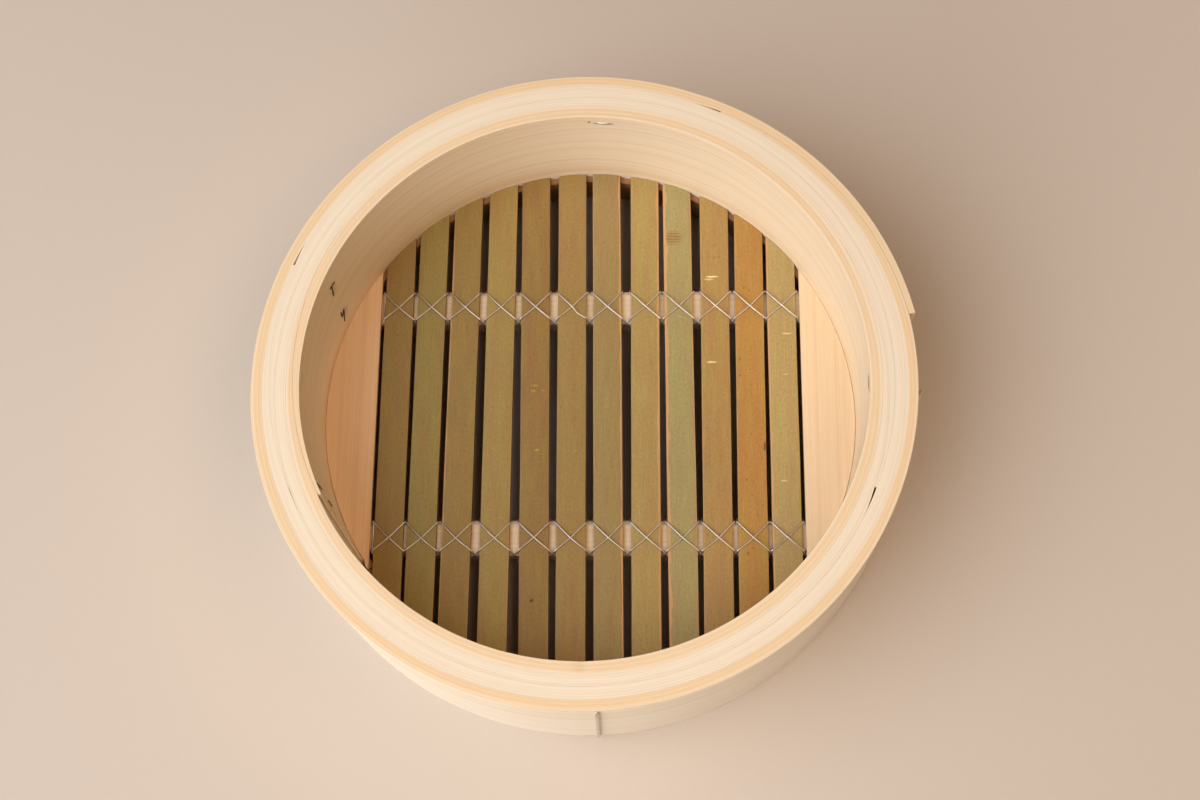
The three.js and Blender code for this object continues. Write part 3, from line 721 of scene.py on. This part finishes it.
def slat_uncut(side, y):
    """How far a slat's underside lies below its seats on the bars and the ring."""
    bar_seat = BAR_WIDTH / 2 + SEAT_MARGIN
    past_bars = min(abs(y - place) for place in BAR_PLACES.values()) - bar_seat
    past_ring = FLOOR_RADIUS - math.hypot(side, y) - RING_BOARD - INNER_LAP_STEP - SEAT_MARGIN
    return SLAT_UNCUT * max(0, min(1, past_bars / SEAT_SLOPE, past_ring / SEAT_SLOPE))


def slat(index):
    """A bamboo slat: crowned skin side, hand-split edges that wander, ends cut to the round floor."""
    tone, left_margin, right_margin, blotched = SLAT_SKINS[index]
    half = SLAT_WIDTH / 2
    reach = FLOOR_RADIUS * MM
    shape = block((-half * MM, -reach, SLAT_BOTTOM * MM), (half * MM, reach, SLAT_TOP * MM))
    top_edges = [edge for edge in along_axis(shape, 1, reach) if on_face(edge, 2, SLAT_TOP * MM)]
    ease(shape, top_edges, SLAT_EDGE)
    long_edges = along_axis(shape, 1, reach)
    bmesh.ops.subdivide_edges(shape, edges=long_edges, cuts=SLAT_CUTS_ALONG, use_grid_fill=True)
    wide_edges = along_axis(shape, 0, half * MM)
    bmesh.ops.subdivide_edges(shape, edges=wide_edges, cuts=SLAT_CUTS_ACROSS, use_grid_fill=True)
    lay = shape.verts.layers.float_vector.new("lay")
    skin = shape.verts.layers.float_color.new("tone")
    margins = shape.verts.layers.float_vector.new("margins")
    for vert in shape.verts:
        x, along, z = vert.co / MM
        share = along / FLOOR_RADIUS
        side = slat_middle(index, along) + x
        y = share * math.sqrt(FLOOR_RADIUS ** 2 - min(abs(side), FLOOR_RADIUS) ** 2)
        crown = SLAT_CROWN * (1 - (x / half) ** 2) if z > SLAT_TOP - SLAT_EDGE / 2 else 0
        uncut = slat_uncut(side, y) if z < SLAT_BOTTOM + SLAT_EDGE / 2 else 0
        wave = Vector((y / SLAT_WANDER_LENGTH, index * 7.3, math.copysign(4, x)))
        wander = SLAT_WANDER * noise.noise(wave)
        vert[lay] = Vector((x, y + index * SLAT_LENGTH_STEP, SLAT_TOP - z))
        vert[skin] = colour(tone)
        vert[margins] = Vector((left_margin, right_margin, blotched))
        vert.co = Vector((slat_middle(index, y) + x + wander * abs(x) / half, y, z + crown - uncut)) * MM
    return shape


for index in range(SLAT_COUNT):
    name = f"slat_{index + 1:02d}"
    piece(slat(index), name + "_bamboo", "floor", bamboo, name)


# Crossbars


def crossbar(y, tree):
    """A flat bar under the slats: rounded long edges, ends cut to the round floor; grain along X."""
    size = Vector((BAR_REACH, BAR_WIDTH / 2, BAR_HEIGHT / 2)) * MM
    shape = block(-size, size)
    reach = BAR_REACH * MM

    def near_top(edge):
        """Whether an edge is the bar's top one towards the front."""
        return on_face(edge, 1, -size.y) and on_face(edge, 2, size.z)

    long_edges = along_axis(shape, 0, reach)
    ease(shape, [edge for edge in long_edges if not near_top(edge)], BAR_CORNER, segments=8)
    long_edges = along_axis(shape, 0, reach)
    ease(shape, [edge for edge in long_edges if near_top(edge)], BAR_NEAR_CORNER, segments=6)
    ends = [edge for edge in shape.edges if on_face(edge, 0, -size.x) or on_face(edge, 0, size.x)]
    ease(shape, ends, BAR_END_EASE)
    bmesh.ops.subdivide_edges(shape, edges=along_axis(shape, 0, reach), cuts=BAR_CUTS, use_grid_fill=True)
    board = shape.verts.layers.float_vector.new("board")
    for vert in shape.verts:
        x, out, up = vert.co / MM
        vert[board] = Vector((x, out, up)) + Vector(tree)
        trimmed = x / BAR_REACH * math.sqrt(BAR_REACH ** 2 - (y + out) ** 2)
        vert.co = Vector((trimmed, y + out, BAR_MIDDLE + up)) * MM
    return shape


for side, y in BAR_PLACES.items():
    piece(crossbar(y, BAR_TREES[side]), side + "_crossbar_wood", "floor", bar_wood,
          side + "_crossbar")


# Wires


def smooth_path(points, spacing):
    """Points set closely along a curve that passes through the given ones."""
    made = []
    last = len(points) - 1
    for i in range(last):
        before, start = points[max(i - 1, 0)], points[i]
        end, after = points[i + 1], points[min(i + 2, last)]
        parts = max(1, math.ceil((end - start).length / spacing))
        for k in range(parts):
            t = k / parts
            pull = (end - before) * t + (2 * before - 5 * start + 4 * end - after) * t ** 2
            pull += (3 * start - before - 3 * end + after) * t ** 3
            if i == 0:
                pull = 2 * (end - start) * t
            made.append(start + pull / 2)
    return made + [points[last]]


def wire(points, diameter, name, body, finish, node):
    """A round wire along points in metres."""
    route = bpy.data.curves.new(name + "_route", "CURVE")
    route.dimensions = "3D"
    route.bevel_depth = diameter * MM / 2
    route.bevel_resolution = 3
    route.use_fill_caps = True
    strand = route.splines.new("POLY")
    strand.points.add(len(points) - 1)
    for spot, point in zip(strand.points, points):
        spot.co = (*point, 1)
    drawn = bpy.data.objects.new(name + "_route", route)
    bpy.context.scene.collection.objects.link(drawn)
    bpy.context.view_layer.update()
    mesh = bpy.data.meshes.new_from_object(drawn.evaluated_get(bpy.context.evaluated_depsgraph_get()))
    bpy.data.objects.remove(drawn)
    shape = bmesh.new()
    shape.from_mesh(mesh)
    bpy.data.meshes.remove(mesh)
    bmesh.ops.remove_doubles(shape, verts=shape.verts, dist=SAME_PLACE)
    piece(shape, name, body, finish, node)


def gap_edges(i, y):
    """The edges of the gap to the right of slat number i, at y; the mat's ends have a side gap."""
    half = SLAT_WIDTH / 2
    from_left = slat_middle(i - 1, y) + half if i > 0 else -BOARD_CHORD
    to_right = slat_middle(i, y) - half if i < SLAT_COUNT else BOARD_CHORD
    return from_left, to_right


def lacing_points(bar):
    """One wire, folded at its middle beside the first slat. Its two strands cross on every slat, go down
    the gaps and round under the bar; the strand from far left to near right lies on top."""
    bar_y = BAR_PLACES[bar]
    radius = LACING_WIRE / 2
    hug = BAR_WIDTH / 2 + radius + LACING_CLEAR
    rest = SLAT_TOP + radius
    reaches = {1: LACING_FAR, -1: LACING_NEAR}

    def climb(gap, side, inward):
        """Up one side of the bar and over the top edge of the slat that lies inward from a gap."""
        y = bar_y + side * reaches[side]
        edges = gap_edges(gap, y)
        edge_x = edges[1] - radius if inward > 0 else edges[0] + radius
        middle = sum(edges) / 2
        near_x = max(abs(edge_x - middle) * LACING_SPREAD, radius + LACING_APART)
        low_x = edge_x if side > 0 else middle - inward * near_x
        return [
            Vector((low_x, bar_y + side * hug, SLAT_BOTTOM - LACING_DROP)),
            Vector((edge_x, y + side * LACING_BEND, SLAT_TOP - LACING_BEND)),
            Vector((edge_x + inward * LACING_BEND, y, rest)),
        ]

    def pass_under(start_x, end_x, side, spare):
        """Round the bar's underside, from one side to the other."""
        flat = BAR_WIDTH / 2 - BAR_CORNER
        corner_z = BAR_MIDDLE - BAR_HEIGHT / 2 + BAR_CORNER
        points = []
        for degrees in (0, 30, 60, 90, 90, 120, 150, 180):
            turn = math.radians(degrees)
            facing = side if len(points) < 4 else -side
            y = facing * (flat + (hug - flat) * abs(math.cos(turn)))
            z = corner_z - (BAR_CORNER + spare) * math.sin(turn)
            x = lerp(start_x, end_x, (1 - side * y / hug) / 2)
            points.append(Vector((x, bar_y + y, z)))
        return points

    def strand(side, lift, spare):
        """All crossings of one strand, which starts each slat on one side of the bar."""
        points = []
        for i in range(1, SLAT_COUNT + 1):
            rising, falling = climb(i - 1, side, 1), climb(i, -side, -1)
            sway = LACING_SWAY * noise.noise(Vector((i * 3.7, bar_y, side * 5)))
            middle = (rising[-1] + falling[-1]) / 2
            crossing = Vector((middle.x, bar_y + LACING_CROSS + sway, rest + SLAT_CROWN + lift))
            points += rising + [crossing]
            if (i, bar) == LACING_KINK[:2] and side > 0:
                share, aside = LACING_KINK[2:]
                points.append(lerp(rising[-1], falling[-1], share) + Vector((0, aside, SLAT_CROWN / 2)))
            points += falling[::-1]
            to_x = climb(i, side, 1)[0].x if i < SLAT_COUNT else falling[0].x
            turned = pass_under(falling[0].x, to_x, -side, spare)
            points += turned if i < SLAT_COUNT else turned[:5]
        return points

    upper = strand(1, LACING_WIRE, UPPER_SPARE)[1:]
    lower = strand(-1, 0, LOWER_SPARE)[1:]
    beside = Vector((gap_edges(0, bar_y)[1] - LACING_FOLD, bar_y, (SLAT_TOP + SLAT_BOTTOM) / 2))
    return [point * MM for point in (*reversed(lower), beside, *upper)]


for side in BAR_PLACES:
    route = smooth_path(lacing_points(side), LACING_STEP * MM)
    wire(route, LACING_WIRE, side + "_lacing", "floor", bright_wire, side + "_lacing_wire")


def staple_points(side):
    """A long staple: upright crown outside, legs through the wall, tips turned along its inner face."""
    radius = STAPLE_WIRE / 2
    crown = OUTER_RADIUS + STAPLE_STANDOFFS[side] + radius
    bend = STAPLE_WIRE * STAPLE_BEND
    heights = (WALL_HEIGHT - STAPLE_FROM_RIM, STAPLE_FROM_FOOT)
    linings = (0, RING_BOARD + HOOP_SEAM)
    legs = []
    for z, lining, way in zip(heights, linings, (1, -1)):
        angle = STAPLE_ANGLES[side] + way * STAPLE_LEANS[side]
        leg = []
        for share in (1, 0.8, 0.6, 0.4, 0.2, 0):
            turned = angle + math.degrees(STAPLE_TIP * share / WALL_RADIUS)
            bulge = 1 - (2 * share - 1) ** 2
            depth = radius * (1 - TIP_SHOWS[side] * bulge)
            leg.append(polar(turned, wall_face(turned) - lining + depth, z))
        face = wall_face(angle) - lining
        leg.append(polar(angle - TIP_LEAN, face + radius + bend, z))
        leg.append(polar(angle, (face + crown) / 2, z))
        leg.append(polar(angle, crown - bend, z))
        leg.append(polar(angle, crown - bend * 0.25, z - way * bend * 0.25))
        leg.append(polar(angle, crown, z - way * bend))
        legs.append(leg)
    return legs[0] + legs[1][::-1]


for side in STAPLE_ANGLES:
    route = smooth_path(staple_points(side), STAPLE_STEP * MM)
    wire(route, STAPLE_WIRE, side + "_staple_steel", "wall", staple_steel, side + "_staple")


def stitch_points(angle, middle, crown):
    """A short stitch: bent crown sunk in the wall's inner face, legs through both layers of the lap."""
    sunk = STITCH_WIRE * STITCH_SUNK

    def at(spot, depth):
        along, up = spot
        turned = angle + math.degrees(along / WALL_RADIUS)
        return polar(turned, wall_face(turned) + depth, middle + up)

    first, last = crown[0], crown[-1]
    points = [at(first, STITCH_LEG), at(first, STITCH_WIRE)]
    points += [at(spot, sunk) for spot in crown]
    return points + [at(last, STITCH_WIRE), at(last, STITCH_LEG)]


for side, levels in STITCH_FROM_RIM.items():
    for level, from_rim in levels.items():
        name = f"{side}_{level}"
        points = stitch_points(STITCH_ANGLES[side], WALL_HEIGHT - from_rim, STITCH_CROWNS[name])
        route = smooth_path(points, STITCH_STEP * MM)
        wire(route, STITCH_WIRE, name + "_lap_stitch_iron", "wall", dark_wire,
             name + "_lap_stitch")


# Floor of the studio, 8 m across
STUDIO_HALF = 4
paper, paper_shader = new_finish("Backdrop paper")
paper_place = add_node(paper, "TexCoord", {}, out="Object")
# Paper tooth, 3 mm clouds too faint to read as a pattern
paper_tooth = add_node(paper, "TexNoise", {"Vector": paper_place, "Scale": 1 / (3 * MM), "Detail": 2})
paper_tone = add_node(paper, "Mix", {MIX_FACTOR: paper_tooth, MIX_FROM: colour("#d1c5b8"),
                                     MIX_TO: colour("#d3c7ba")}, out=MIX_RESULT, data_type="RGBA")
join(paper, paper_shader, {"Base Color": paper_tone, "Roughness": 0.9})
ground = bmesh.new()
bmesh.ops.create_grid(ground, x_segments=1, y_segments=1, size=STUDIO_HALF)
ground_mesh = bpy.data.meshes.new("studio_floor")
ground.to_mesh(ground_mesh)
ground.free()
ground_mesh.materials.append(paper)
studio_floor = bpy.data.objects.new("studio_floor", ground_mesh)
bpy.context.scene.collection.objects.link(studio_floor)

# Light: a large soft lamp from the left, weak ones high on the right and low in front, and a warm room that
# is paler on the left and darker overhead
# Each lamp: degrees round from +X and up, metres away, wide and tall, watts, tint
LAMPS = {
    "key": (202, 49, 1.8, 1.8, 2.2, 30, "#f9fbff"),
    "fill": (348, 66, 1.4, 1.2, 0.7, 6.9, "#ffdfc0"),
    "front": (244, 20, 1.6, 1.2, 0.5, 8.6, "#fdfbf8"),
}
ROOM_LEFT = 0.35
ROOM_RIGHT = 0.1
ROOM_FADE = 0.7
CEILING_SHARE = 0.3


def soft_lamp(name, azimuth, elevation, distance, width, tall, power, tint):
    """An oval soft lamp that faces the basket."""
    glow = bpy.data.lights.new(name, "AREA")
    glow.shape = "ELLIPSE"
    glow.size = width
    glow.size_y = tall
    glow.energy = power
    glow.color = colour(tint)[:3]
    lamp = bpy.data.objects.new(name, glow)
    bpy.context.scene.collection.objects.link(lamp)
    turn, level = math.radians(azimuth), math.radians(elevation)
    way = Vector((math.cos(turn) * math.cos(level), math.sin(turn) * math.cos(level), math.sin(level)))
    lamp.location = way * distance
    lamp.rotation_euler = way.to_track_quat("Z", "Y").to_euler()


for name, setting in LAMPS.items():
    soft_lamp(name, *setting)
room = bpy.data.worlds.new("room")
bpy.context.scene.world = room
room.use_nodes = True
room_way = add_node(room, "TexCoord", {}, out="Generated")
room_height = add_node(room, "SeparateXYZ", {0: room_way}, out="Z")
room_side = add_node(room, "SeparateXYZ", {0: room_way}, out="X")
room_glow = add_node(room, "MapRange", {0: room_side, 1: -1, 2: 1, 3: ROOM_LEFT, 4: ROOM_RIGHT})
room_drop = add_node(room, "MapRange", {0: room_height, 1: 0, 2: ROOM_FADE, 3: 1, 4: CEILING_SHARE})
room_light = add_node(room, "Math", {0: room_glow, 1: room_drop}, operation="MULTIPLY")
join(room, room.node_tree.nodes["Background"], {"Color": colour("#ffd2a8"), "Strength": room_light})

# Camera: in front and above, turned a little so that the slats run away to the upper right
CAMERA_TURN = 8.3
CAMERA_BACK = 198.5
CAMERA_HEIGHT = 644.5
CAMERA_YAW = 1.505
CAMERA_PITCH = 71.95
CAMERA_ROLL = -6.665
CAMERA_LENS = 51
CAMERA_SENSOR = 36
yaw, pitch, roll = (math.radians(value) for value in (CAMERA_YAW, CAMERA_PITCH, CAMERA_ROLL))
forward = Vector((math.sin(yaw) * math.cos(pitch), math.cos(yaw) * math.cos(pitch), -math.sin(pitch)))
level_right = Vector((math.cos(yaw), -math.sin(yaw), 0))
level_up = level_right.cross(forward)
right = level_right * math.cos(roll) + level_up * math.sin(roll)
up = level_up * math.cos(roll) - level_right * math.sin(roll)
stand = Matrix((right, up, -forward)).transposed().to_4x4()
stand.translation = Vector((0, -CAMERA_BACK, CAMERA_HEIGHT)) * MM
lens = bpy.data.cameras.new("camera")
lens.sensor_fit = "HORIZONTAL"
lens.sensor_width = CAMERA_SENSOR
lens.lens = CAMERA_LENS
camera = bpy.data.objects.new("camera", lens)
bpy.context.scene.collection.objects.link(camera)
camera.matrix_world = Matrix.Rotation(math.radians(CAMERA_TURN), 4, "Z") @ stand
bpy.context.scene.camera = camera
bpy.context.scene.view_settings.view_transform = "Standard"
